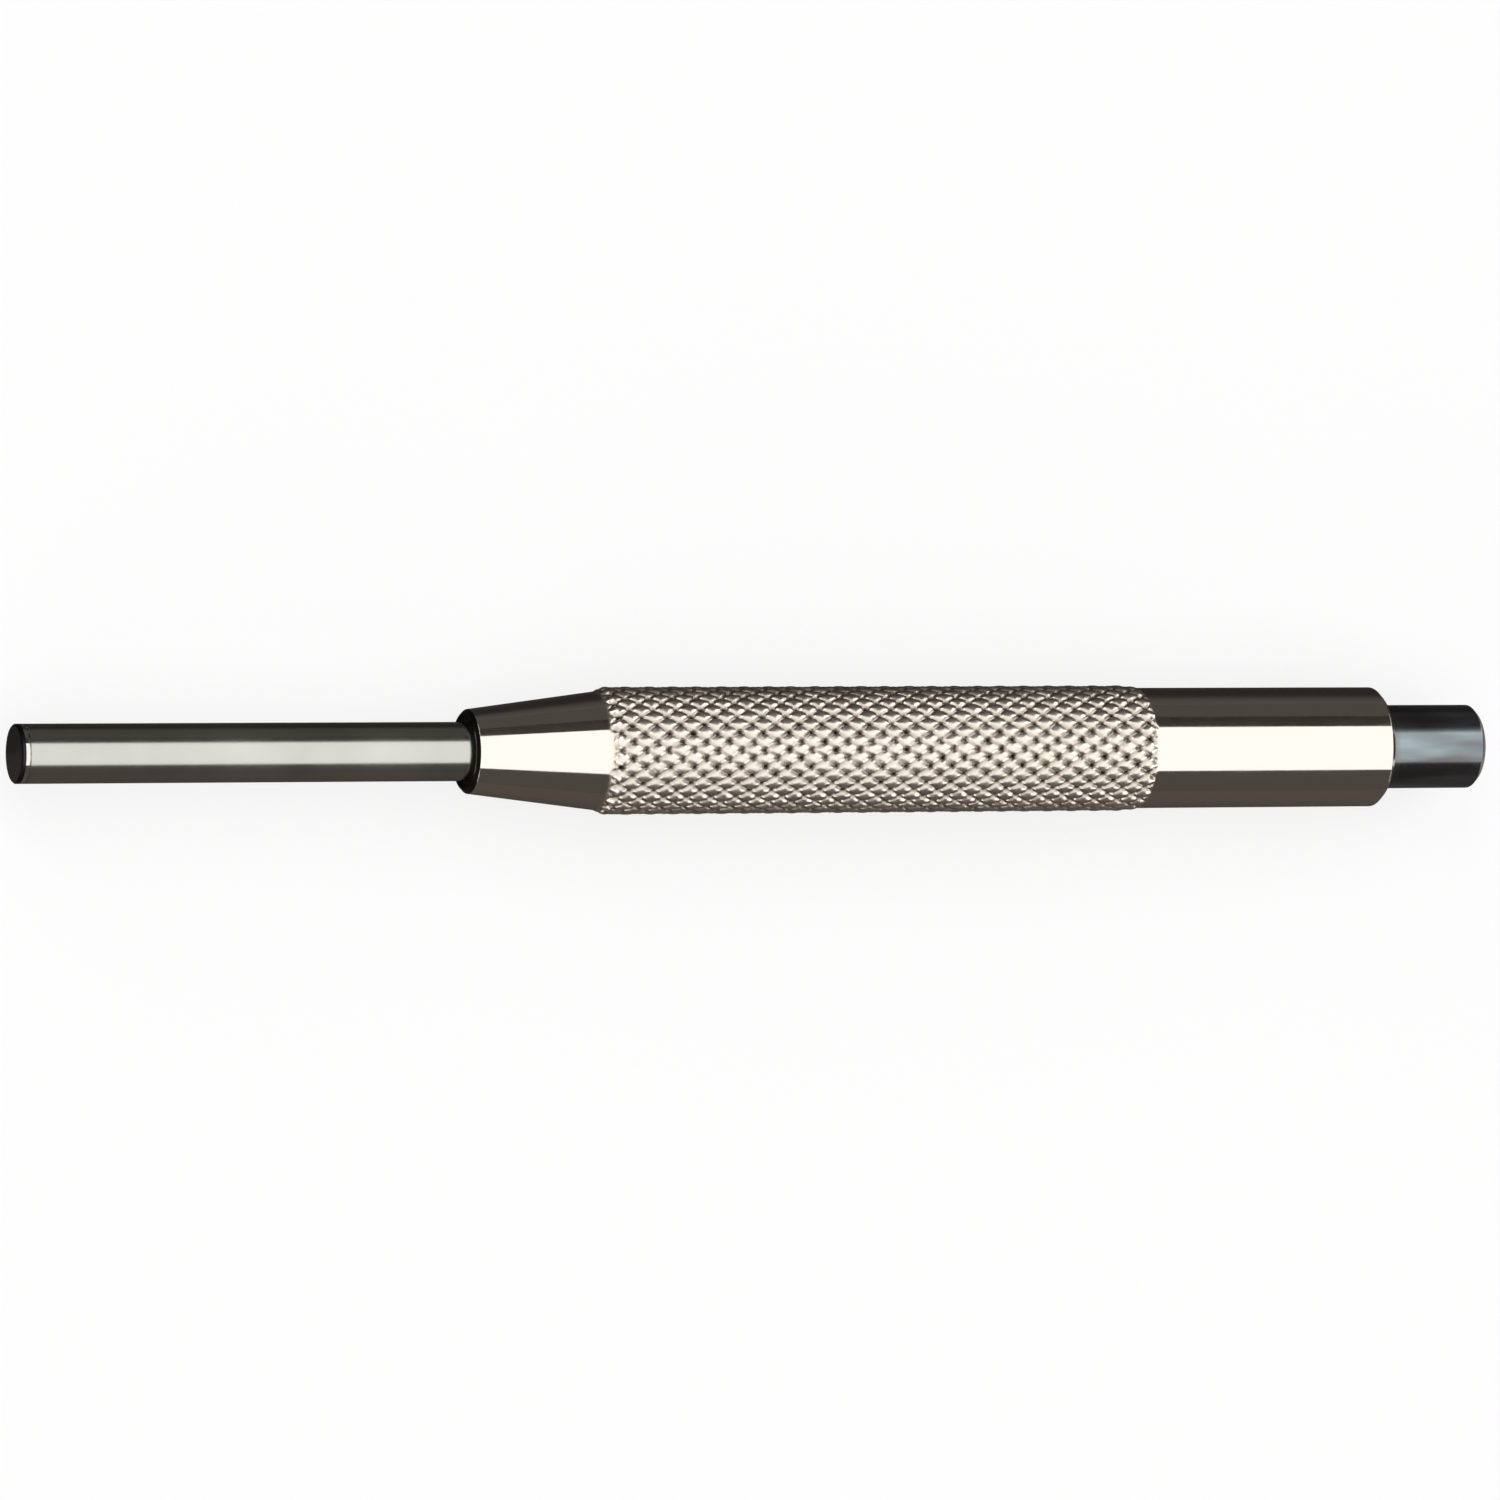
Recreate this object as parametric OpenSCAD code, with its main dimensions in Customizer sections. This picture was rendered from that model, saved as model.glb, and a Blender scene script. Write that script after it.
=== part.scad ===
// Pin punch with a sliding guide sleeve, lying on its side, tip towards -X.
// The knurled sleeve slides along a striking shank that carries the punch pin,
// and a sprung wire ring in the shank holds the sleeve wherever it is set.

/* [Punch pin] */
// Diameter of the punch pin
pin_d = 3.9; // [2.9:0.1:4.4]
// Length of pin ahead of the sleeve when the sleeve is right back
pin_reach = 30.8; // [20:0.1:34]
// Chamfer round the tip
tip_chamfer = 0.1; // [0.05:0.05:0.6]
// Depth that the pin is pressed into the shank
pin_seat_len = 14; // [8:0.5:18]

/* [Striking shank] */
// Diameter of the shank and of its striking head
shank_d = 5.7; // [5.4:0.1:6]
// Length of shank behind the sleeve when the sleeve is right back
head_reach = 7.4; // [5:0.1:12]
// Chamfer round the striking face
head_chamfer = 0.35; // [0.1:0.05:0.6]
// Chamfer round the front end of the shank
shank_front_chamfer = 0.4; // [0.1:0.05:0.6]

/* [Guide sleeve] */
// Length of the sleeve
sleeve_len = 65.8; // [60:0.1:75]
// Diameter of the plain stretch at the back
sleeve_d = 8.15; // [8:0.05:8.4]
// Diameter of the nose at its front face
nose_d = 5.6; // [5.4:0.1:6.2]
// Length of the cone behind the nose
cone_len = 8.8; // [8.5:0.1:11]
// Diameter of the cone where the knurl starts
cone_end_d = 7.8; // [7.7:0.05:8.1]
// Chamfer round the nose
nose_chamfer = 0.1; // [0.05:0.05:0.4]
// Countersink at the mouth of the nose, round the pin
mouth_chamfer = 0.5; // [0.2:0.05:0.6]
// Chamfer round the back end
back_chamfer = 0.3; // [0.1:0.05:0.5]
// Length of the bore in the nose that guides the pin
nose_bore_len = 8; // [6:0.5:9]
// Length of the lip at the back that guides the shank
lip_len = 2; // [1:0.25:4]

/* [Knurl] */
// Diameter over the tips of the diamonds
knurl_d = 8.5; // [8.45:0.05:8.8]
// Length of the knurled band
knurl_len = 39.6; // [30:0.1:41]
// Diamonds round the sleeve
knurl_count = 22; // [20:1:32]
// Angle between the grooves and the sleeve's axis, in degrees
knurl_angle = 34; // [25:1:40]
// Depth of the grooves
knurl_depth = 0.3; // [0.2:0.05:0.35]
// Height of the tips in the row at each end, as a share of the full height
end_tip_share = 0.6; // [0.4:0.05:1]

/* [Friction ring] */
// Diameter of the ring's wire
wire_d = 0.7; // [0.5:0.05:0.8]
// How far the ring stands out of the shank
ring_proud = 0.22; // [0.15:0.01:0.25]
// Angle that is left open between the ring's ends, in degrees
ring_split = 40; // [20:5:90]

/* [Fits] */
// Clearance round a piece that slides in a guiding bore
guide_clear = 0.05; // [0.02:0.01:0.08]
// Clearance round the ring, in its groove and in the sleeve
ring_clear = 0.04; // [0.02:0.01:0.06]
// Gap left at each stop of the sliding travel
stop_clear = 0.1; // [0.05:0.05:0.3]

/* [Hidden] */
$fn = 96;

// How far a cut runs past the face that it leaves
overrun = 0.5;

pin_r = pin_d / 2;
shank_r = shank_d / 2;
sleeve_r = sleeve_d / 2;
nose_r = nose_d / 2;
cone_end_r = cone_end_d / 2;
wire_r = wire_d / 2;

// Bores of the sleeve, from the pieces that run in them
nose_bore_r = pin_r + guide_clear;
mouth_r = min(nose_bore_r + mouth_chamfer, nose_r - 2 * nose_chamfer);
lip_bore_r = shank_r + guide_clear;
main_bore_r = shank_r + ring_proud + ring_clear;

// Places along the axis, measured back from the tip
nose_at = pin_reach;
knurl_at = nose_at + cone_len;
knurl_end_at = knurl_at + knurl_len;
sleeve_end_at = nose_at + sleeve_len;
head_at = sleeve_end_at + head_reach;
shank_at = nose_at + nose_bore_len + stop_clear;
lip_at = sleeve_end_at - lip_len;

// The sleeve runs forward until its nose is level with the tip, where the ring meets the lip
travel = pin_reach;
ring_at = lip_at - travel - stop_clear - wire_r;

// Friction ring and its groove in the shank
ring_mid_r = shank_r + ring_proud - wire_r;
groove_r = ring_mid_r - wire_r - ring_clear;
groove_w = wire_d + 2 * ring_clear;

// Knurl: crossing grooves leave diamonds, drawn as rows of points half a pitch apart
knurl_r = knurl_d / 2;
root_r = knurl_r - knurl_depth;
knurl_columns = 2 * knurl_count;
knurl_pitch = PI * 2 * root_r / knurl_count / tan(knurl_angle);
knurl_rows = round(2 * knurl_len / knurl_pitch);
// How far the sleeve's own wall lies under the knurl and under the walls beside it
knurl_under = 0.1;
core_r = min(root_r, cone_end_r, sleeve_r) - knurl_under;
// How far each end of the knurl runs into the plain wall beside it
knurl_bury = 0.05;
knurl_end_r = core_r + knurl_under / 2;

axis_height = knurl_r;

// Lays a piece that was drawn upright along X, with the knurl on the ground
module lie_down() {
    translate([-head_at / 2, 0, axis_height])
        rotate([0, 90, 0])
            children();
}

// Solid of revolution from points of [radius, distance from the tip]
module turned(points) {
    rotate_extrude()
        polygon(points);
}

function is_tip(column, row) = (column + row) % 2 == 0;

// Radius at a point of the knurl: tips and groove crossings alternate,
// the rows at both ends are lower, and the last points lie inside the wall
function knurl_point_r(column, row) =
    row == 0 || row == knurl_rows ? knurl_end_r
    : !is_tip(column, row) ? root_r
    : row == 1 || row == knurl_rows - 1 ? root_r + end_tip_share * knurl_depth
    : knurl_r;

function knurl_point_at(row) =
    row == 0 ? knurl_at - knurl_bury
    : row == knurl_rows ? knurl_end_at + knurl_bury
    : knurl_at + row * knurl_len / knurl_rows;

function knurl_index(column, row) = row * knurl_columns + column % knurl_columns;

// Two triangles for one cell, parted along the groove that crosses it
function knurl_cell(column, row) =
    let (
        a = knurl_index(column, row),
        b = knurl_index(column + 1, row),
        c = knurl_index(column + 1, row + 1),
        d = knurl_index(column, row + 1)
    )
    is_tip(column, row) ? [[a, d, b], [c, b, d]] : [[a, c, b], [a, d, c]];

// Diamond knurl as one closed solid, with each diamond a low pyramid
module knurl_band() {
    points = [
        for (row = [0 : knurl_rows], column = [0 : knurl_columns - 1])
            let (r = knurl_point_r(column, row), turn = 360 * column / knurl_columns)
            [r * cos(turn), r * sin(turn), knurl_point_at(row)]
    ];
    sides = [
        for (row = [0 : knurl_rows - 1], column = [0 : knurl_columns - 1])
            each knurl_cell(column, row)
    ];
    front = [for (column = [0 : knurl_columns - 1]) knurl_index(column, 0)];
    back = [for (column = [knurl_columns - 1 : -1 : 0]) knurl_index(column, knurl_rows)];
    polyhedron(points, concat(sides, [front, back]));
}

// Outside of the sleeve without its knurl: nose, cone, and plain stretch at the back
module sleeve_outside() {
    turned([
        [0, nose_at],
        [nose_r - nose_chamfer, nose_at],
        [nose_r, nose_at + nose_chamfer],
        [cone_end_r, knurl_at],
        [core_r, knurl_at],
        [core_r, knurl_end_at],
        [sleeve_r, knurl_end_at],
        [sleeve_r, sleeve_end_at - back_chamfer],
        [sleeve_r - back_chamfer, sleeve_end_at],
        [0, sleeve_end_at]
    ]);
}

// Stepped bore: a countersunk mouth, a close guide for the pin, room for the shank and its ring,
// and a lip that keeps the ring in
module sleeve_bore() {
    turned([
        [0, nose_at - overrun],
        [mouth_r, nose_at - overrun],
        [mouth_r, nose_at],
        [nose_bore_r, nose_at + mouth_r - nose_bore_r],
        [nose_bore_r, nose_at + nose_bore_len],
        [main_bore_r, nose_at + nose_bore_len],
        [main_bore_r, lip_at],
        [lip_bore_r, lip_at],
        [lip_bore_r, sleeve_end_at + overrun],
        [0, sleeve_end_at + overrun]
    ]);
}

// Nickel-plated steel sleeve that the hand holds
module guide_sleeve() {
    color("#cfc8ba")
        lie_down()
            difference() {
                union() {
                    sleeve_outside();
                    knurl_band();
                }
                sleeve_bore();
            }
}

// Blackened steel shank: striking head behind, socket for the pin in front,
// groove for the ring
module striking_shank() {
    color("#2a2c2f")
        lie_down()
            difference() {
                turned([
                    [0, shank_at],
                    [shank_r - shank_front_chamfer, shank_at],
                    [shank_r, shank_at + shank_front_chamfer],
                    [shank_r, ring_at - groove_w / 2],
                    [groove_r, ring_at - groove_w / 2],
                    [groove_r, ring_at + groove_w / 2],
                    [shank_r, ring_at + groove_w / 2],
                    [shank_r, head_at - head_chamfer],
                    [shank_r - head_chamfer, head_at],
                    [0, head_at]
                ]);
                translate([0, 0, shank_at - overrun])
                    cylinder(r = pin_r, h = pin_seat_len + overrun);
            }
}

// Hardened and ground pin, pressed into the shank
module punch_pin() {
    color("#8d8c88")
        lie_down()
            turned([
                [0, 0],
                [pin_r - tip_chamfer, 0],
                [pin_r, tip_chamfer],
                [pin_r, shank_at + pin_seat_len],
                [0, shank_at + pin_seat_len]
            ]);
}

// Split ring of spring wire that drags in the sleeve's bore
module friction_ring() {
    color("#6f7174")
        lie_down()
            translate([0, 0, ring_at])
                rotate([0, 0, ring_split / 2])
                    rotate_extrude(angle = 360 - ring_split)
                        translate([ring_mid_r, 0])
                            circle(r = wire_r);
}

guide_sleeve();
striking_shank();
punch_pin();
friction_ring();
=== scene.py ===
import bpy
import numpy as np
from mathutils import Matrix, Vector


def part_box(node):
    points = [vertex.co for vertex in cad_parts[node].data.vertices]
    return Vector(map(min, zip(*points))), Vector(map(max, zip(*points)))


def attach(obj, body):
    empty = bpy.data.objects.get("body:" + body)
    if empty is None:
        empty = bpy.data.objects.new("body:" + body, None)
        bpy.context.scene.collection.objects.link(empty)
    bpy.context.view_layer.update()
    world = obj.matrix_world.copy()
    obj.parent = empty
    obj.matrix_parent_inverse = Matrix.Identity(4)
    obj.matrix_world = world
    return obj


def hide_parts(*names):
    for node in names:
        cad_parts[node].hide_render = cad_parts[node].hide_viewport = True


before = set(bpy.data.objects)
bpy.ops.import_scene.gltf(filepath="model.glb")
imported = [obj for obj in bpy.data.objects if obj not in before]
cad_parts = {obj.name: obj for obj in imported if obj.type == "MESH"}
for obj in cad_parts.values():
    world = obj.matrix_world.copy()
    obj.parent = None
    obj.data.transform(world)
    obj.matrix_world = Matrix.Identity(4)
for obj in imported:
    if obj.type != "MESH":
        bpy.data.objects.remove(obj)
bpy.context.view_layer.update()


# Punch pin. A hardened steel rod, centreless ground to size and left bright.
# Its front end pushes against the work, and its back end is pressed into the shank.

mm = 0.001
# The sleeve lies on its knurl, so the axis of all pieces runs at half its height
sleeve_low, sleeve_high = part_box("guide_sleeve")
axis_z = (sleeve_low.z + sleeve_high.z) / 2
pin_low, pin_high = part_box("punch_pin")
pin_r = axis_z - pin_low.z
tip_x, pin_end_x = pin_low.x, pin_high.x
tip_chamfer = 0.1 * mm
tip_break, pin_end_break = 0.005 * mm, 0.15 * mm
# A near black band of painted shade reaches round the tip's edge, then come a rim painted lighter as a
# highlight, and a turned line
tip_band_x = tip_x + 0.3 * mm
line_x = tip_x + 0.54 * mm
line_width, line_depth, line_break = 0.12 * mm, 0.004 * mm, 0.02 * mm
pin_columns = 160


def eased(corners, breaks, steps=5):
    """Outline of (x, radius) corners with a short parabola in place of each one.
    The parabola leaves both sides at the break's distance from the corner, pulled towards the
    corner itself. One more point beyond it on each side, further off by a fixed ratio, keeps the
    sides flat to the eye. The first and last corner only give a direction, and aren't in the result."""
    guard_ratio = 1.7
    corners = np.array(corners, float)
    breaks = np.array(breaks, float)[:, None]
    here = corners[1:-1]
    back = corners[:-2] - here
    on = corners[2:] - here
    back = back / np.linalg.norm(back, axis=1, keepdims=True) * breaks
    on = on / np.linalg.norm(on, axis=1, keepdims=True) * breaks
    way = np.linspace(0, 1, steps + 1)[None, :, None]
    curve = here[:, None] + (1 - way) ** 2 * back[:, None] + way**2 * on[:, None]
    before = here[:, None] + guard_ratio * back[:, None]
    beyond = here[:, None] + guard_ratio * on[:, None]
    return np.concatenate([before, curve, beyond], axis=1).reshape(-1, 2)


def lathe_points(x, r, columns):
    """Grid of points of a turned surface, from a column of x and a column or a grid of radii.
    The point at x and radius r runs round the axis: it lies at (x, r sin angle, axis + r cos angle),
    with the angle counted from the top."""
    angle = 2 * np.pi * np.arange(columns) / columns
    return np.stack(np.broadcast_arrays(x, r * np.sin(angle), axis_z + r * np.cos(angle)), axis=-1)


def turned_solid(name, corners, breaks, columns):
    """Closed solid of revolution from corners that start and end on the axis, with the others eased.
    Rings of quads join each row of the grid to the next, and a fan of triangles closes each pole."""
    outline = eased(corners, breaks)
    rows = len(outline)
    grid = lathe_points(outline[:, :1], outline[:, 1:], columns)
    poles = np.array([[corners[0][0], 0, axis_z], [corners[-1][0], 0, axis_z]])
    here = np.arange(rows * columns).reshape(rows, columns)
    beside = np.roll(here, -1, axis=1)
    quads = np.stack([here[:-1], here[1:], beside[1:], beside[:-1]], axis=-1).reshape(-1, 4)
    first, last = rows * columns, rows * columns + 1
    front = np.stack([np.full(columns, first), here[0], beside[0]], axis=-1)
    rear = np.stack([here[-1], np.full(columns, last), beside[-1]], axis=-1)
    mesh = bpy.data.meshes.new(name)
    points = np.concatenate([grid.reshape(-1, 3), poles])
    mesh.from_pydata(points.tolist(), [], quads.tolist() + front.tolist() + rear.tolist())
    mesh.shade_smooth()
    made = bpy.data.objects.new(name, mesh)
    bpy.context.scene.collection.objects.link(made)
    return made


pin_corners = [
    [tip_x, 0],
    [tip_x, pin_r - tip_chamfer],
    [tip_x + tip_chamfer, pin_r],
    [line_x, pin_r],
    [line_x + line_width / 2, pin_r - line_depth],
    [line_x + line_width, pin_r],
    [pin_end_x, pin_r],
    [pin_end_x, 0],
]
pin_breaks = [tip_break] * 2 + [line_break] * 3 + [pin_end_break]
pin = turned_solid("ground_punch_pin", pin_corners, pin_breaks, pin_columns)


def linear(code):
    """Linear colour, with alpha 1, from an sRGB hex code, by the standard's own formula."""
    srgb = np.array([int(code[i : i + 2], 16) for i in (1, 3, 5)]) / 255
    return (*np.where(srgb <= 0.04045, srgb / 12.92, ((srgb + 0.055) / 1.055) ** 2.4), 1)


def bare_material(name):
    """New material and its node tree, which is empty."""
    made = bpy.data.materials.new(name)
    made.use_nodes = True
    made.node_tree.nodes.clear()
    return made, made.node_tree


def add(tree, kind, inputs=None, stops=(), **settings):
    """Adds one shader node, sets its properties, and fills its inputs with numbers or links.
    A colour ramp also gets its stops, from pairs of place and hex code with the places rising."""
    made = tree.nodes.new("ShaderNode" + kind)
    for key, value in settings.items():
        setattr(made, key, value)
    for slot, value in (inputs or {}).items():
        if isinstance(value, bpy.types.NodeSocket):
            tree.links.new(value, made.inputs[slot])
        else:
            made.inputs[slot].default_value = value
    for _ in stops[2:]:
        made.color_ramp.elements.new(0.5)
    for number, (position, code) in enumerate(stops):
        made.color_ramp.elements[number].position = position
        made.color_ramp.elements[number].color = linear(code)
    return made


# Numbers of a Mix node's sockets, because its values and its colours have the same names
value_a, value_b = 2, 3
colour_a, colour_b, mixed_colour = 6, 7, 2

# Ground steel: grinding leaves fine rings round the pin, which blur its reflections a little
# and let a soft glow run out beside the highlight.
ground_steel, tree = bare_material("ground_hardened_steel")
place = add(tree, "TexCoord").outputs["Object"]
along = add(tree, "SeparateXYZ", {"Vector": place}).outputs["X"]
# Grinding rings 0.12 mm apart, coarser than real ones so that they show, drawn out round the pin
grind_pitch, grind_run, grind_depth = 0.12 * mm, 6 * mm, 0.002 * mm
grind_scale = (1 / grind_pitch, 1 / grind_run, 1 / grind_run)
drawn_out = add(tree, "Mapping", {"Vector": place, "Scale": grind_scale}).outputs[0]
rings = add(tree, "TexNoise", {
    "Vector": drawn_out, "Scale": 1.0, "Detail": 3.0, "Roughness": 0.6,
}).outputs[0]
grind = add(tree, "Bump", {"Strength": 0.25, "Distance": grind_depth, "Height": rings}).outputs[0]
# Patches about 5 mm across where hands and oil have dulled the grind
patch_size = 5 * mm
patches = add(tree, "TexNoise", {
    "Vector": place, "Scale": 1 / patch_size, "Detail": 3.0, "Roughness": 0.55,
}).outputs[0]
patch_sheen = add(tree, "MapRange", {
    "Value": patches, "From Min": 0.3, "From Max": 0.7, "To Min": 0.17, "To Max": 0.21,
}).outputs[0]
patch_tone = add(tree, "ValToRGB", {"Fac": patches}, [(0.3, "#c0c0b9"), (0.7, "#cacac3")]).outputs[0]
# Painted shade darkens the turned line here and there, in spots 0.3 mm across
spot_size, line_shade_grey = 0.3 * mm, "#8d8b85"
line_middle, line_half = line_x + line_width / 2, line_width / 2
in_line = add(tree, "Math", {0: along, 1: line_middle, 2: line_half}, operation="COMPARE").outputs[0]
spots = add(tree, "TexNoise", {"Vector": place, "Scale": 1 / spot_size, "Detail": 2.0}).outputs[0]
line_shade_mask = add(tree, "MapRange", {
    "Value": spots, "From Min": 0.35, "From Max": 0.6, "To Max": in_line,
}).outputs[0]
line_tone = add(tree, "Mix", {
    "Factor": line_shade_mask, colour_a: patch_tone, colour_b: linear(line_shade_grey),
}, data_type="RGBA").outputs[mixed_colour]
# The rim, painted a lighter steel tone as a highlight and glossier, ends at the turned line
rim_highlight_grey, rim_roughness = "#dfdcd5", 0.1
on_rim = add(tree, "Math", {0: along, 1: line_x}, operation="LESS_THAN").outputs[0]
rim_tone = add(tree, "Mix", {
    "Factor": on_rim, colour_a: line_tone, colour_b: linear(rim_highlight_grey),
}, data_type="RGBA").outputs[mixed_colour]
rim_sheen = add(tree, "Mix", {"Factor": on_rim, value_a: patch_sheen, value_b: rim_roughness}).outputs[0]
# Painted shade covers the tip's edge in near black, and is a lighter grey on the end face
tip_band_black, face_shade_grey, tip_band_sheen = "#323132", "#767273", 0.35
in_tip_band = add(tree, "Math", {0: along, 1: tip_band_x}, operation="LESS_THAN").outputs[0]
tip_band_tone = add(tree, "Mix", {
    "Factor": in_tip_band, colour_a: rim_tone, colour_b: linear(tip_band_black),
}, data_type="RGBA").outputs[mixed_colour]
on_face = add(tree, "Math", {0: along, 1: tip_x + tip_break}, operation="LESS_THAN").outputs[0]
pin_tone = add(tree, "Mix", {
    "Factor": on_face, colour_a: tip_band_tone, colour_b: linear(face_shade_grey),
}, data_type="RGBA").outputs[mixed_colour]
pin_sheen = add(tree, "Mix", {"Factor": in_tip_band, value_a: rim_sheen, value_b: tip_band_sheen}).outputs[0]
steel = add(tree, "BsdfPrincipled", {
    "Base Color": pin_tone, "Metallic": 1.0, "Roughness": pin_sheen, "Normal": grind,
})
add(tree, "OutputMaterial", {"Surface": steel.outputs[0]})
pin.data.materials.append(ground_steel)

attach(pin, "punch")
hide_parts("punch_pin")


# Striking shank. A turned steel bar, hardened and blackened in a hot oxide bath.
# Its back end takes the hammer, its front end is bored for the pin, and a groove holds the ring.

shank_low, shank_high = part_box("striking_shank")
shank_r = axis_z - shank_low.z
shank_x, head_x = shank_low.x, shank_high.x
head_chamfer = 0.35 * mm
shank_front_chamfer = 0.4 * mm
# The rims of the striking face are left nearly crisp, and the other edges are broken a little more
head_break, edge_break = 0.03 * mm, 0.06 * mm
ring_low, ring_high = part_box("friction_ring")
wire_d = ring_high.x - ring_low.x
ring_clear = 0.04 * mm
ring_out_r = (ring_high.y - ring_low.y) / 2
groove_r = ring_out_r - wire_d - ring_clear
shank_columns = 192

shank_corners = [
    [pin_end_x, 0],
    [pin_end_x, pin_r],
    [shank_x, pin_r],
    [shank_x, shank_r - shank_front_chamfer],
    [shank_x + shank_front_chamfer, shank_r],
    [ring_low.x - ring_clear, shank_r],
    [ring_low.x - ring_clear, groove_r],
    [ring_high.x + ring_clear, groove_r],
    [ring_high.x + ring_clear, shank_r],
    [head_x - head_chamfer, shank_r],
    [head_x, shank_r - head_chamfer],
    [head_x, 0],
]
shank_breaks = [edge_break] * (len(shank_corners) - 4) + [head_break] * 2
shank = turned_solid("blackened_striking_shank", shank_corners, shank_breaks, shank_columns)

# Black oxide: a thin dark layer that lets the steel's sheen through with a cold blue cast.
# Next to the sleeve it is a warm grey instead, as far as just behind the sleeve's back end.
black_oxide, tree = bare_material("black_oxide_on_steel")
place = add(tree, "TexCoord").outputs["Object"]
along = add(tree, "SeparateXYZ", {"Vector": place}).outputs["X"]
# Cloudy bath marks that run along the bar, 2.4 mm across and 14 mm long, from a dark to a cold light
# grey. They are shifted so that a light one lies on top of the head, under its highlight, as a painted
# highlight
cloud_width, cloud_len, highlight_cloud_shift = 2.4 * mm, 14 * mm, (0, 3.51, 2.0)
cloud_scale = (1 / cloud_len, 1 / cloud_width, 1 / cloud_width)
drawn_out = add(tree, "Mapping", {
    "Vector": place, "Location": highlight_cloud_shift, "Scale": cloud_scale,
}).outputs[0]
clouds = add(tree, "TexNoise", {
    "Vector": drawn_out, "Scale": 1.0, "Detail": 3.0, "Roughness": 0.5,
}).outputs[0]
cloud_tone = add(tree, "ValToRGB", {"Fac": clouds}, [(0.36, "#6f6e71"), (0.58, "#96a5a9")]).outputs[0]
cloud_sheen = add(tree, "MapRange", {
    "Value": clouds, "From Min": 0.3, "From Max": 0.7, "To Min": 0.16, "To Max": 0.2,
}).outputs[0]
# The warm grey stretch fades out about 0.7 mm behind the sleeve, with a ragged end
sleeve_side_grey, ragged_len, fade_len = "#84807b", 0.8 * mm, 0.6 * mm
sleeve_end_x = sleeve_high.x
fade_x = sleeve_end_x + ragged_len
ragged = add(tree, "Math", {0: clouds, 1: ragged_len, 2: along}, operation="MULTIPLY_ADD").outputs[0]
past_sleeve_side = add(tree, "MapRange", {
    "Value": ragged, "From Min": fade_x, "From Max": fade_x + fade_len,
}).outputs[0]
sleeve_side_tone = add(tree, "Mix", {
    "Factor": past_sleeve_side, colour_a: linear(sleeve_side_grey), colour_b: cloud_tone,
}, data_type="RGBA").outputs[mixed_colour]
# A few dark pits in the layer, up to 0.3 mm across and some 2 mm apart
pit_spacing, pit_black = 2 * mm, "#413f3f"
from_pits = add(tree, "TexVoronoi", {"Vector": place, "Scale": 1 / pit_spacing}).outputs["Distance"]
unpitted = add(tree, "MapRange", {"Value": from_pits, "From Min": 0.06, "From Max": 0.1}).outputs[0]
pitted_tone = add(tree, "Mix", {
    "Factor": unpitted, colour_a: linear(pit_black), colour_b: sleeve_side_tone,
}, data_type="RGBA").outputs[mixed_colour]
# Hammer blows have worn the rim of the striking face to bare, dull steel
struck_grey, struck_sheen = "#c9c6c2", 0.5
rim_middle, rim_half = head_x - head_chamfer / 2, head_chamfer / 2 - head_break / 2
struck = add(tree, "Math", {0: along, 1: rim_middle, 2: rim_half}, operation="COMPARE").outputs[0]
shank_tone = add(tree, "Mix", {
    "Factor": struck, colour_a: pitted_tone, colour_b: linear(struck_grey),
}, data_type="RGBA").outputs[mixed_colour]
shank_sheen = add(tree, "Mix", {"Factor": struck, value_a: cloud_sheen, value_b: struck_sheen}).outputs[0]
# Turning rings 0.2 mm apart under the black layer
turning_pitch, turning_run, turning_depth = 0.2 * mm, 8 * mm, 0.003 * mm
turning_scale = (1 / turning_pitch, 1 / turning_run, 1 / turning_run)
drawn_out = add(tree, "Mapping", {"Vector": place, "Scale": turning_scale}).outputs[0]
rings = add(tree, "TexNoise", {
    "Vector": drawn_out, "Scale": 1.0, "Detail": 3.0, "Roughness": 0.6,
}).outputs[0]
turning = add(tree, "Bump", {"Strength": 0.25, "Distance": turning_depth, "Height": rings}).outputs[0]
oxide = add(tree, "BsdfPrincipled", {
    "Base Color": shank_tone, "Metallic": 1.0, "Roughness": shank_sheen, "Normal": turning,
})
add(tree, "OutputMaterial", {"Surface": oxide.outputs[0]})
shank.data.materials.append(black_oxide)

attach(shank, "punch")
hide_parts("striking_shank")


# Friction ring. A split ring of drawn spring wire that sits in the shank's groove.
# It drags in the sleeve's bore, out of sight, and its own solid already has its true shape.

# Spring wire: drawn through a die, so it is smooth and grey, with faint streaks along the wire.
spring_steel, tree = bare_material("drawn_spring_steel")
place = add(tree, "TexCoord").outputs["Object"]
# Die streaks 0.05 mm wide across the wire, long round the ring
streak_width, streak_len = 0.05 * mm, 3 * mm
streak_scale = (1 / streak_width, 1 / streak_len, 1 / streak_len)
drawn_out = add(tree, "Mapping", {"Vector": place, "Scale": streak_scale}).outputs[0]
streaks = add(tree, "TexNoise", {"Vector": drawn_out, "Scale": 1.0, "Detail": 2.0}).outputs[0]
wire_tone = add(tree, "ValToRGB", {"Fac": streaks}, [(0, "#8a8a8c"), (1, "#a6a6a6")]).outputs[0]
wire = add(tree, "BsdfPrincipled", {"Base Color": wire_tone, "Metallic": 1.0, "Roughness": 0.3})
add(tree, "OutputMaterial", {"Surface": wire.outputs[0]})
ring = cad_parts["friction_ring"]
ring.data.materials.clear()
ring.data.materials.append(spring_steel)


# Guide sleeve. A steel tube, turned with a cone nose, rolled with a diamond knurl and nickel plated.
# It slides on the shank, and its nose steadies the pin.

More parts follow.
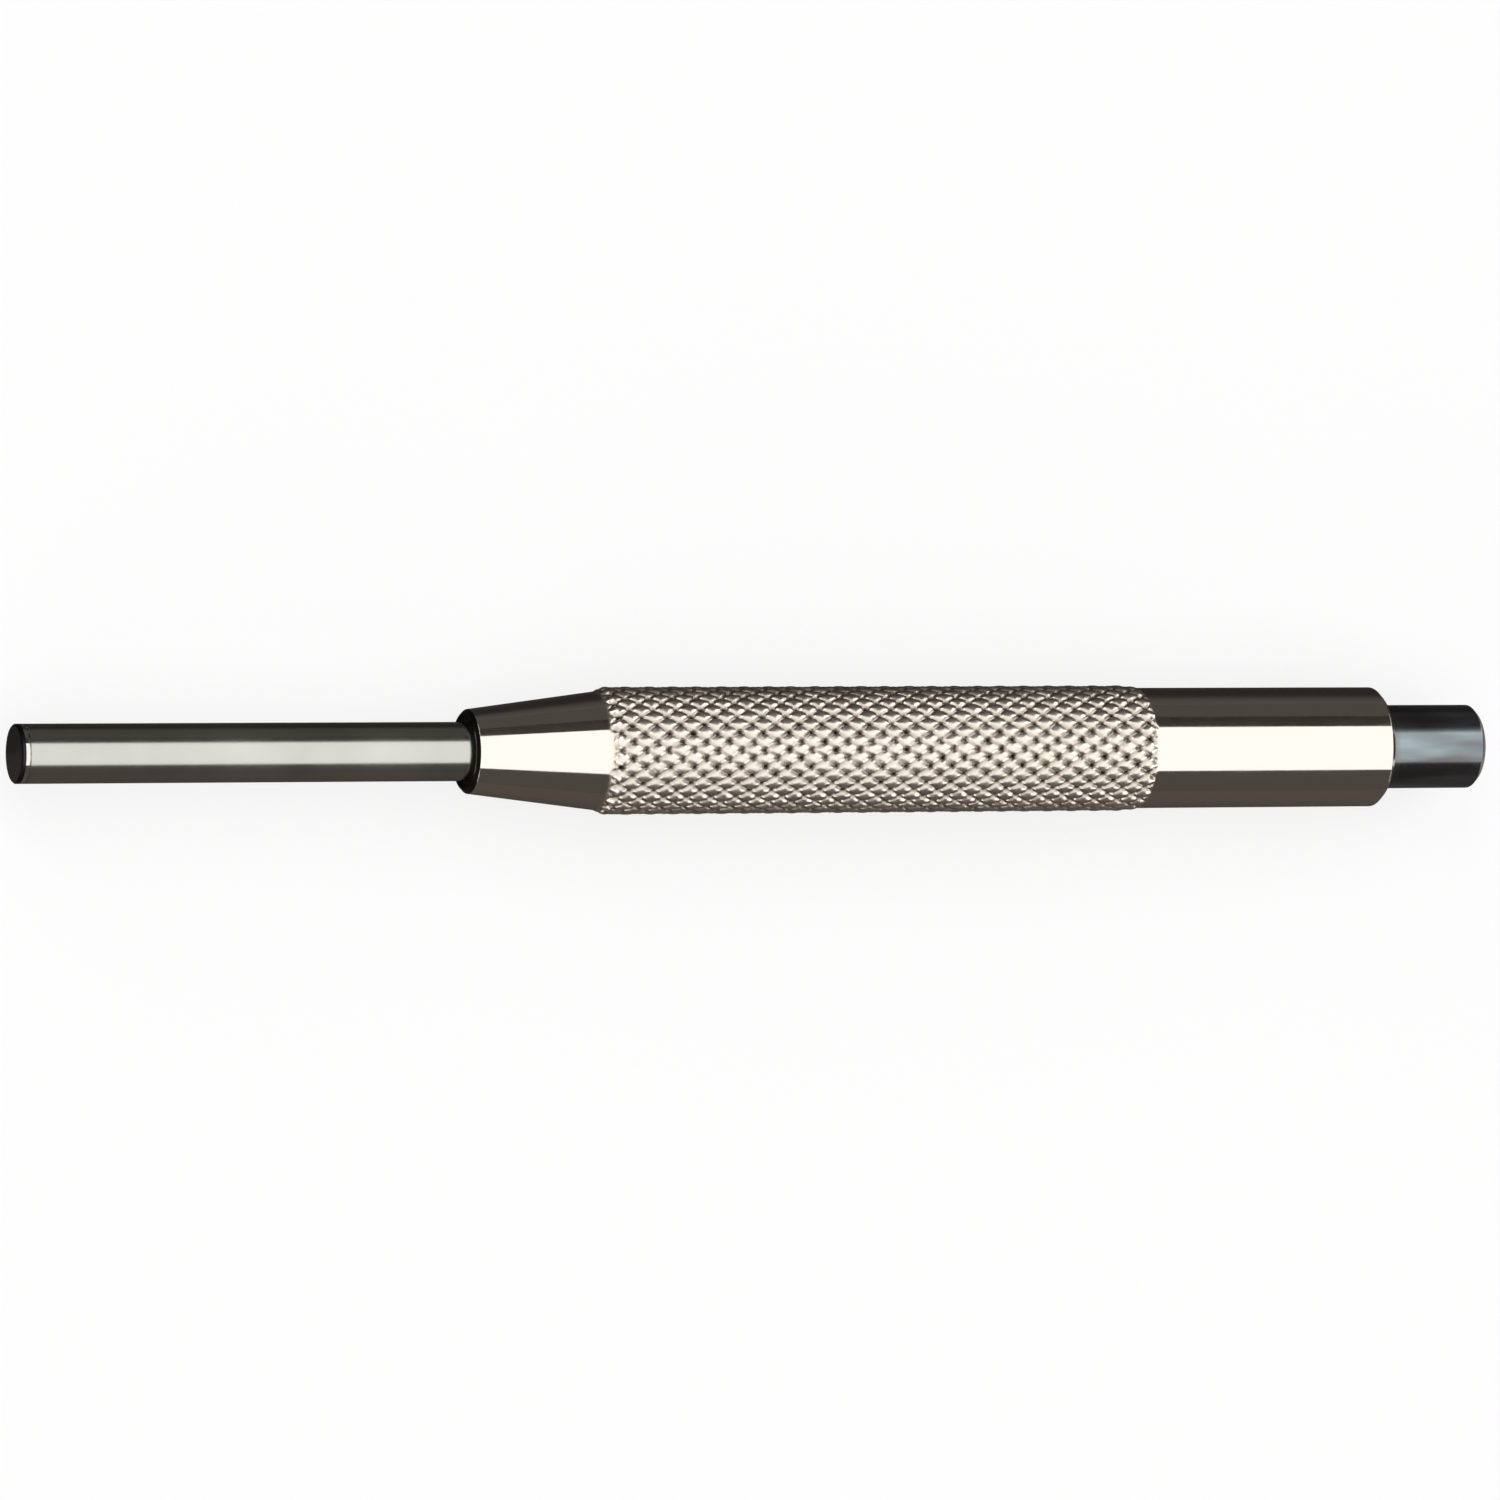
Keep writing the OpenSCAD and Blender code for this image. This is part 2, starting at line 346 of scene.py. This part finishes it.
nose_x = sleeve_low.x
nose_r = 2.8 * mm
nose_chamfer = 0.22 * mm
mouth_chamfer = 0.46 * mm
cone_len = 8.8 * mm
cone_end_r = 3.9 * mm
sleeve_r = 4.075 * mm
back_chamfer = 0.3 * mm
guide_clear = 0.05 * mm
nose_bore_len = 8 * mm
lip_len = 2 * mm
rim_break = 0.012 * mm
nose_bore_r = pin_r + guide_clear
mouth_r = nose_bore_r + mouth_chamfer
lip_bore_r = shank_r + guide_clear
main_bore_r = ring_out_r + ring_clear
lip_x = sleeve_end_x - lip_len
shoulder_x = nose_x + nose_bore_len

knurl_x = nose_x + cone_len
knurl_len = 39.6 * mm
knurl_end_x = knurl_x + knurl_len
knurl_r = axis_z
knurl_depth = 0.42 * mm
# Half diamonds along the knurl and round the sleeve, and points in each of them, each way
half_rows, half_columns = 47, 44
fineness = 6
# Half the width of a groove, as a share of the distance from groove to crest, and how sharply it cuts in
groove_width = 0.9
groove_sharpness = 2.0
# Half the length and half the width of the pit where two grooves cross, in half diamonds
pit_length, pit_width = 0.26, 0.36
# How much of the depth lies in the pits, with the rest all along the grooves
pit_share = 0.5
# How far the wheels have wandered, as a share of the pitch, and how unevenly they have sunk in
wander, unevenness = 0.08, 0.25
# Lengths over which the crests rise out of the cone and roll off at the back, and the grooves run out,
# and how far the grooves stop short of both ends
rise_len, rolloff_len, groove_end_len = 1.1 * mm, 1.5 * mm, 0.15 * mm
front_margin, back_margin = 0.25 * mm, 0.3 * mm
# Distance from the knurl to a ring of points on each plain wall, which keeps the wall flat to the eye
wall_guard = 0.1 * mm

sleeve_columns = half_columns * fineness
knurl_rows = half_rows * fineness
knurl_seed = 7
knurl_chance = np.random.default_rng(knurl_seed)


def off_groove(phase):
    """Distance from the nearest of a set of helical grooves, which run at whole turns of the phase,
    from -0.5 to 0.5 of the way from one groove to the next."""
    return (phase + 0.5) % 1 - 0.5


def uneven(row, column):
    """Random numbers from -1 to 1 at the corners of the half diamonds, with straight lines between
    them both ways."""
    at_corners = knurl_chance.uniform(-1, 1, (half_rows + 2, half_columns))
    this_row, this_column = np.floor(row).astype(int), np.floor(column).astype(int)
    next_column = (this_column + 1) % half_columns
    on_row, on_column = row - this_row, column - this_column
    here, after = (
        at_corners[at_row, this_column] * (1 - on_column) + at_corners[at_row, next_column] * on_column
        for at_row in (this_row, this_row + 1)
    )
    return here * (1 - on_row) + after * on_row


# A right-hand and a left-hand set of grooves cross. A groove is deepest along its middle, and its depth
# is a power of the distance from its edge. Where two cross, the wheels have sunk a pit, an oval bowl.
# So each diamond is a low pillow between four pits.
row = np.arange(knurl_rows + 1)[:, None] / fineness
column = np.arange(sleeve_columns)[None, :] / fineness
off_right = off_groove((row + column + 1) / 2 + wander * uneven(row, column))
off_left = off_groove((column - row + 1) / 2 + wander * uneven(row, column))
off_nearest = np.minimum(np.abs(off_right), np.abs(off_left))
grooves = np.clip(1 - 2 * off_nearest / groove_width, 0, 1) ** groove_sharpness
from_pit = ((off_right - off_left) / pit_length) ** 2 + ((off_right + off_left) / pit_width) ** 2
pits = np.clip(1 - from_pit, 0, 1)
sunk = pit_share * pits + (1 - pit_share) * grooves
sunk = sunk / sunk.max() * (1 - unevenness * (0.5 + 0.5 * uneven(row, column)))

# The crests rise from the cone in an S curve and roll off at the back in a quarter ellipse
knurl_row_x = knurl_x + knurl_len * np.arange(knurl_rows + 1) / knurl_rows
rise = np.clip((knurl_row_x - knurl_x) / rise_len, 0, 1)
rise = rise**2 * (3 - 2 * rise)
rolloff = np.sqrt(1 - np.clip((knurl_row_x + back_margin - knurl_end_x) / rolloff_len + 1, 0, 1) ** 2)
crest_r = cone_end_r + (knurl_r - cone_end_r) * rise
crest_r = sleeve_r + (crest_r - sleeve_r) * rolloff
from_ends = np.minimum(knurl_row_x - knurl_x - front_margin, knurl_end_x - back_margin - knurl_row_x)
groove_ends = np.clip(from_ends / groove_end_len, 0, 1)
cut = knurl_depth * groove_ends
knurl_surface_r = crest_r[:, None] - cut[:, None] * sunk

# The outline runs from the nose's bore over the outside and back through the other bores to its start.
# The knurl's rows stand in place of the knurl's own two corners.
nose_corners = [
    [nose_x + mouth_chamfer, nose_bore_r],
    [nose_x, mouth_r],
    [nose_x, nose_r - nose_chamfer],
    [nose_x + nose_chamfer, nose_r],
]
knurl_corners = [
    [knurl_x, cone_end_r],
    [knurl_end_x, sleeve_r],
]
back_corners = [
    [sleeve_end_x - back_chamfer, sleeve_r],
    [sleeve_end_x, sleeve_r - back_chamfer],
]
bore_corners = [
    [sleeve_end_x, lip_bore_r],
    [lip_x, lip_bore_r],
    [lip_x, main_bore_r],
    [shoulder_x, main_bore_r],
    [shoulder_x, nose_bore_r],
]
outside_corners = nose_corners + knurl_corners + back_corners
sleeve_corners = bore_corners[-1:] + outside_corners + bore_corners + nose_corners[:1]
sleeve_breaks = [rim_break] * len(outside_corners) + [edge_break] * len(bore_corners)
corner_points = eased(sleeve_corners, sleeve_breaks, steps=4).reshape(len(sleeve_breaks), -1, 2)
before_knurl = len(nose_corners)
after_knurl = before_knurl + len(knurl_corners)
cone_slope = (cone_end_r - nose_r) / (cone_len - nose_chamfer)
cone_guard = [[knurl_x - wall_guard, cone_end_r - wall_guard * cone_slope]]
back_guard = [[knurl_end_x + wall_guard, sleeve_r]]
front_outline = np.concatenate([corner_points[:before_knurl].reshape(-1, 2), cone_guard])
back_outline = np.concatenate([back_guard, corner_points[after_knurl:].reshape(-1, 2)])
sleeve_x = np.concatenate([front_outline[:, 0], knurl_row_x, back_outline[:, 0]])
sleeve_grid_r = np.concatenate([
    np.repeat(front_outline[:, 1:], sleeve_columns, axis=1),
    knurl_surface_r,
    np.repeat(back_outline[:, 1:], sleeve_columns, axis=1),
])
sleeve_grid = lathe_points(sleeve_x[:, None], sleeve_grid_r, sleeve_columns)

# Every cell is two triangles. The cut between them follows the groove that crosses the cell,
# which slants one way and the other in turn from one half diamond to the next.
sleeve_rows = len(sleeve_x)
here = np.arange(sleeve_rows * sleeve_columns).reshape(sleeve_rows, sleeve_columns)
after = np.roll(here, -1, axis=0)
beside = np.roll(here, -1, axis=1)
across = np.roll(after, -1, axis=1)
cell_row = np.clip(np.arange(sleeve_rows) - len(front_outline), 0, knurl_rows - 1) // fineness
cell_column = np.arange(sleeve_columns) // fineness
leans = ((cell_row[:, None] + cell_column[None, :]) % 2 == 0)[..., None]
one = np.where(leans, np.stack([here, after, beside], -1), np.stack([here, after, across], -1))
two = np.where(leans, np.stack([after, across, beside], -1), np.stack([here, across, beside], -1))
triangles = np.concatenate([one.reshape(-1, 3), two.reshape(-1, 3)])
sleeve_mesh = bpy.data.meshes.new("knurled_guide_sleeve")
sleeve_mesh.from_pydata(sleeve_grid.reshape(-1, 3).tolist(), [], triangles.tolist())
sleeve_mesh.shade_smooth()

# How deep each point lies in the knurl, for the painted shade that darkens it there: 0 on the plain walls,
# then from the crest level on the crests to 1 in the deepest pits
crest_level = 0.15
# Painted shade also rings the mouth of the nose, round the pin, and is lighter towards the bore
mouth_shade, bore_shade = 0.8, 0.62
on_nose_face = front_outline[:, 0] < nose_x + nose_chamfer
in_mouth = front_outline[:, 1] < mouth_r
satin_front = np.clip((knurl_row_x - knurl_x) / front_margin, 0, 1)
satin_ends = satin_front * (knurl_row_x < knurl_end_x - back_margin)
front = slice(0, len(front_outline))
knurled = slice(len(front_outline), len(front_outline) + knurl_rows + 1)
depth = np.zeros((sleeve_rows, sleeve_columns))
depth[front][on_nose_face] = mouth_shade
depth[front][in_mouth & ~on_nose_face] = bore_shade
depth[knurled] = crest_level * satin_ends[:, None] + (1 - crest_level) * sunk * groove_ends[:, None]
recess = sleeve_mesh.attributes.new("recess", "FLOAT", "POINT")
recess.data.foreach_set("value", depth.ravel())
sleeve = bpy.data.objects.new("knurled_guide_sleeve", sleeve_mesh)
bpy.context.scene.collection.objects.link(sleeve)

# Nickel plate: a warm white metal, polished before plating, so it mirrors its surroundings sharply.
# Its faint waviness shows only where a highlight ends, and painted shade darkens the knurl's grooves and
# pits.
nickel, tree = bare_material("polished_nickel_plate")
place = add(tree, "TexCoord").outputs["Object"]
# Waviness left by polishing, 0.6 mm across
wave_size, wave_depth = 0.6 * mm, 0.004 * mm
waves = add(tree, "TexNoise", {
    "Vector": place, "Scale": 1 / wave_size, "Detail": 2.0, "Roughness": 0.5,
}).outputs[0]
polish = add(tree, "Bump", {"Strength": 0.2, "Distance": wave_depth, "Height": waves}).outputs[0]
# Finger marks about 4 mm across
mark_size = 4 * mm
marks = add(tree, "TexNoise", {
    "Vector": place, "Scale": 1 / mark_size, "Detail": 4.0, "Roughness": 0.6,
}).outputs[0]
gloss = add(tree, "MapRange", {
    "Value": marks, "From Min": 0.35, "From Max": 0.7, "To Min": 0.05, "To Max": 0.1,
}).outputs[0]
# Bare nickel on the walls and crests, then painted shade that is the darker the deeper it lies
depth_in = add(tree, "Attribute", attribute_name="recess").outputs["Fac"]
nickel_shade_stops = [
    (0, "#eae5dd"),
    (crest_level, "#eae2d6"),
    (0.3, "#d7cfc3"),
    (0.5, "#b2a89c"),
    (0.7, "#554c40"),
    (0.85, "#1b1612"),
    (1, "#1b1612"),
]
nickel_with_painted_shade = add(tree, "ValToRGB", {"Fac": depth_in}, nickel_shade_stops).outputs[0]
# The wheels leave the diamonds satin, not polished
satin_sheen = 0.24
satin = add(tree, "MapRange", {
    "Value": depth_in, "From Max": crest_level, "To Max": satin_sheen,
}).outputs[0]
sleeve_sheen = add(tree, "Math", {0: satin, 1: gloss}, operation="ADD").outputs[0]
plate = add(tree, "BsdfPrincipled", {
    "Base Color": nickel_with_painted_shade, "Metallic": 1.0, "Roughness": sleeve_sheen, "Normal": polish,
})
add(tree, "OutputMaterial", {"Surface": plate.outputs[0]})
sleeve.data.materials.append(nickel)

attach(sleeve, "sleeve")
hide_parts("guide_sleeve")


# Table and light. A pale matt table, one large softbox overhead with a dark skirt, and a dim room.
# Dark cards lie under the punch for its reflections alone, so the polished steel keeps dark edges.


def panel(name, low, high, z, shades):
    """Flat level rectangle between two corners, in matt paint that shades from one colour to the next
    across it, from a list of (y, colour)."""
    mesh = bpy.data.meshes.new(name)
    corners = [[low[0], low[1], z], [high[0], low[1], z], [high[0], high[1], z], [low[0], high[1], z]]
    mesh.from_pydata(corners, [], [[0, 1, 2, 3]])
    made = bpy.data.objects.new(name, mesh)
    bpy.context.scene.collection.objects.link(made)
    paint, tree = bare_material(name + "_paint")
    place = add(tree, "TexCoord").outputs["Object"]
    y = add(tree, "SeparateXYZ", {"Vector": place}).outputs["Y"]
    first_y, last_y = shades[0][0], shades[-1][0]
    span = add(tree, "MapRange", {"Value": y, "From Min": first_y, "From Max": last_y}).outputs[0]
    stops = [((shade_y - first_y) / (last_y - first_y), colour) for shade_y, colour in shades]
    shade = add(tree, "ValToRGB", {"Fac": span}, stops).outputs[0]
    matt = add(tree, "BsdfDiffuse", {"Color": shade})
    add(tree, "OutputMaterial", {"Surface": matt.outputs[0]})
    mesh.materials.append(paint)
    return made


table_reach = 3.0
table_white = "#f4f4f4"
table = panel(
    "pale_table", (-table_reach, -table_reach), (table_reach, table_reach), 0,
    [(-table_reach, table_white), (table_reach, table_white)],
)
# To the eye and in mirrors the table is mostly plain white, so it stays clean and its shadow light
glow_share = 0.75
tree = table.data.materials[0].node_tree
path = add(tree, "LightPath").outputs
seen = add(tree, "Math", {0: path["Is Camera Ray"], 1: path["Is Glossy Ray"]}, operation="MAXIMUM")
seen = add(tree, "Math", {0: seen.outputs[0], 1: path["Is Transmission Ray"]}, operation="MAXIMUM")
glow = add(tree, "Math", {0: seen.outputs[0], 1: glow_share}, operation="MULTIPLY")
white = add(tree, "Emission", {"Strength": 1.0})
output = tree.nodes["Material Output"]
matt = output.inputs["Surface"].links[0].from_socket
glowing = add(tree, "MixShader", {0: glow.outputs[0], 1: matt, 2: white.outputs[0]})
tree.links.new(glowing.outputs[0], output.inputs["Surface"])

card_lift = 0.1 * mm
near_grey = "#544e49"
near_card = panel(
    "near_card", (-table_reach, -table_reach), (table_reach, 0), card_lift,
    [(-table_reach, near_grey), (0, near_grey)],
)
# The far card is darkest from 8 to 13 mm off the axis, and lightest 60 mm off and further
far_shades = [
    (0, "#3e3a39"),
    (5 * mm, "#3e3a39"),
    (8 * mm, "#2e2a29"),
    (13 * mm, "#2e2a29"),
    (24 * mm, "#4a4645"),
    (60 * mm, "#524e4c"),
]
far_card = panel("far_card", (-table_reach, 0), (table_reach, table_reach), card_lift, far_shades)
softbox_height = 1.0
softbox_low, softbox_high = np.array([-1.4, -1.0]), np.array([1.2, 0.84])
skirt_width = 1.0
skirt_low = (softbox_low[0], softbox_high[1])
skirt_high = (softbox_high[0], softbox_high[1] + skirt_width)
skirt = panel(
    "softbox_skirt", skirt_low, skirt_high, softbox_height,
    [(skirt_low[1], "#4a4442"), (skirt_high[1], "#6e6866")],
)
for unseen in (near_card, far_card, skirt):
    unseen.visible_camera = False
    unseen.visible_diffuse = False
    unseen.visible_shadow = False
    unseen.visible_transmission = False


def softbox(name, centre, facing, along, width, length, brightness):
    """Rectangular area lamp. It shines along one direction and its width lies along another. Its energy
    is pi times its area times its brightness, which is the value that a mirror shows of it."""
    lamp = bpy.data.lights.new(name, "AREA")
    lamp.shape = "RECTANGLE"
    lamp.size, lamp.size_y = width, length
    lamp.energy = np.pi * width * length * brightness
    made = bpy.data.objects.new(name, lamp)
    x, z = (np.array(direction) / np.linalg.norm(direction) for direction in (along, facing))
    pose = np.eye(4)
    pose[:3, 0], pose[:3, 1], pose[:3, 2], pose[:3, 3] = x, np.cross(x, z), -z, centre
    # Blender takes a plain array column by column
    made.matrix_world = pose.T
    bpy.context.scene.collection.objects.link(made)


overhead_centre = (*((softbox_low + softbox_high) / 2), softbox_height)
overhead_size = softbox_high - softbox_low
overhead_brightness = 1.18
softbox("overhead_softbox", overhead_centre, (0, 0, -1), (1, 0, 0), *overhead_size, overhead_brightness)
# Lower softboxes stand on both sides and face the punch, before and behind what the plain walls mirror,
# so that only the knurl's pits and pillows catch them
for name, x, y, z, width, length, brightness in (
    ("far_front_softbox", -0.55, 1.05, 0.65, 0.7, 0.95, 2.4),
    ("far_back_softbox", 1.05, 0.8, 0.65, 0.6, 0.9, 2.4),
    ("near_front_softbox", -0.55, -1.05, 0.22, 0.7, 0.95, 2.56),
    ("near_back_softbox", 1.05, -0.8, 0.22, 0.6, 0.9, 2.56),
):
    softbox(name, (x, y, z), (-x, -y, -z), (-y, x, 0), width, length, brightness)

room_grey = "#514c49"
room = bpy.data.worlds.new("dim_room")
room.use_nodes = True
room.node_tree.nodes["Background"].inputs["Color"].default_value = linear(room_grey)
bpy.context.scene.world = room
bpy.context.scene.view_settings.view_transform = "Standard"


# Camera. It looks down at the punch from in front of the tip, turned from square on to the axis.
# A long lens keeps the two ends nearly to one scale.

view_turn = np.radians(21)
view_roll = np.radians(0.3)
view_distance = 0.6
aim_x = -1.03 * mm
image_pixels, focal_pixels = 1500, 9002
nearest_seen, farthest_seen = 0.01, 20
aim = np.array([aim_x, 0, axis_z])
away = np.array([-np.sin(view_turn), 0, np.cos(view_turn)])
level_right = np.array([np.cos(view_turn), 0, np.sin(view_turn)])
level_up = np.array([0.0, 1.0, 0.0])
right = level_right * np.cos(view_roll) - level_up * np.sin(view_roll)
up = level_up * np.cos(view_roll) + level_right * np.sin(view_roll)
lens = bpy.data.cameras.new("camera")
lens.sensor_width = 36
lens.lens = focal_pixels / image_pixels * lens.sensor_width
lens.clip_start, lens.clip_end = nearest_seen, farthest_seen
camera = bpy.data.objects.new("camera", lens)
pose = np.eye(4)
pose[:3, 0], pose[:3, 1], pose[:3, 2], pose[:3, 3] = right, up, away, aim + away * view_distance
camera.matrix_world = pose.T
bpy.context.scene.collection.objects.link(camera)
bpy.context.scene.camera = camera
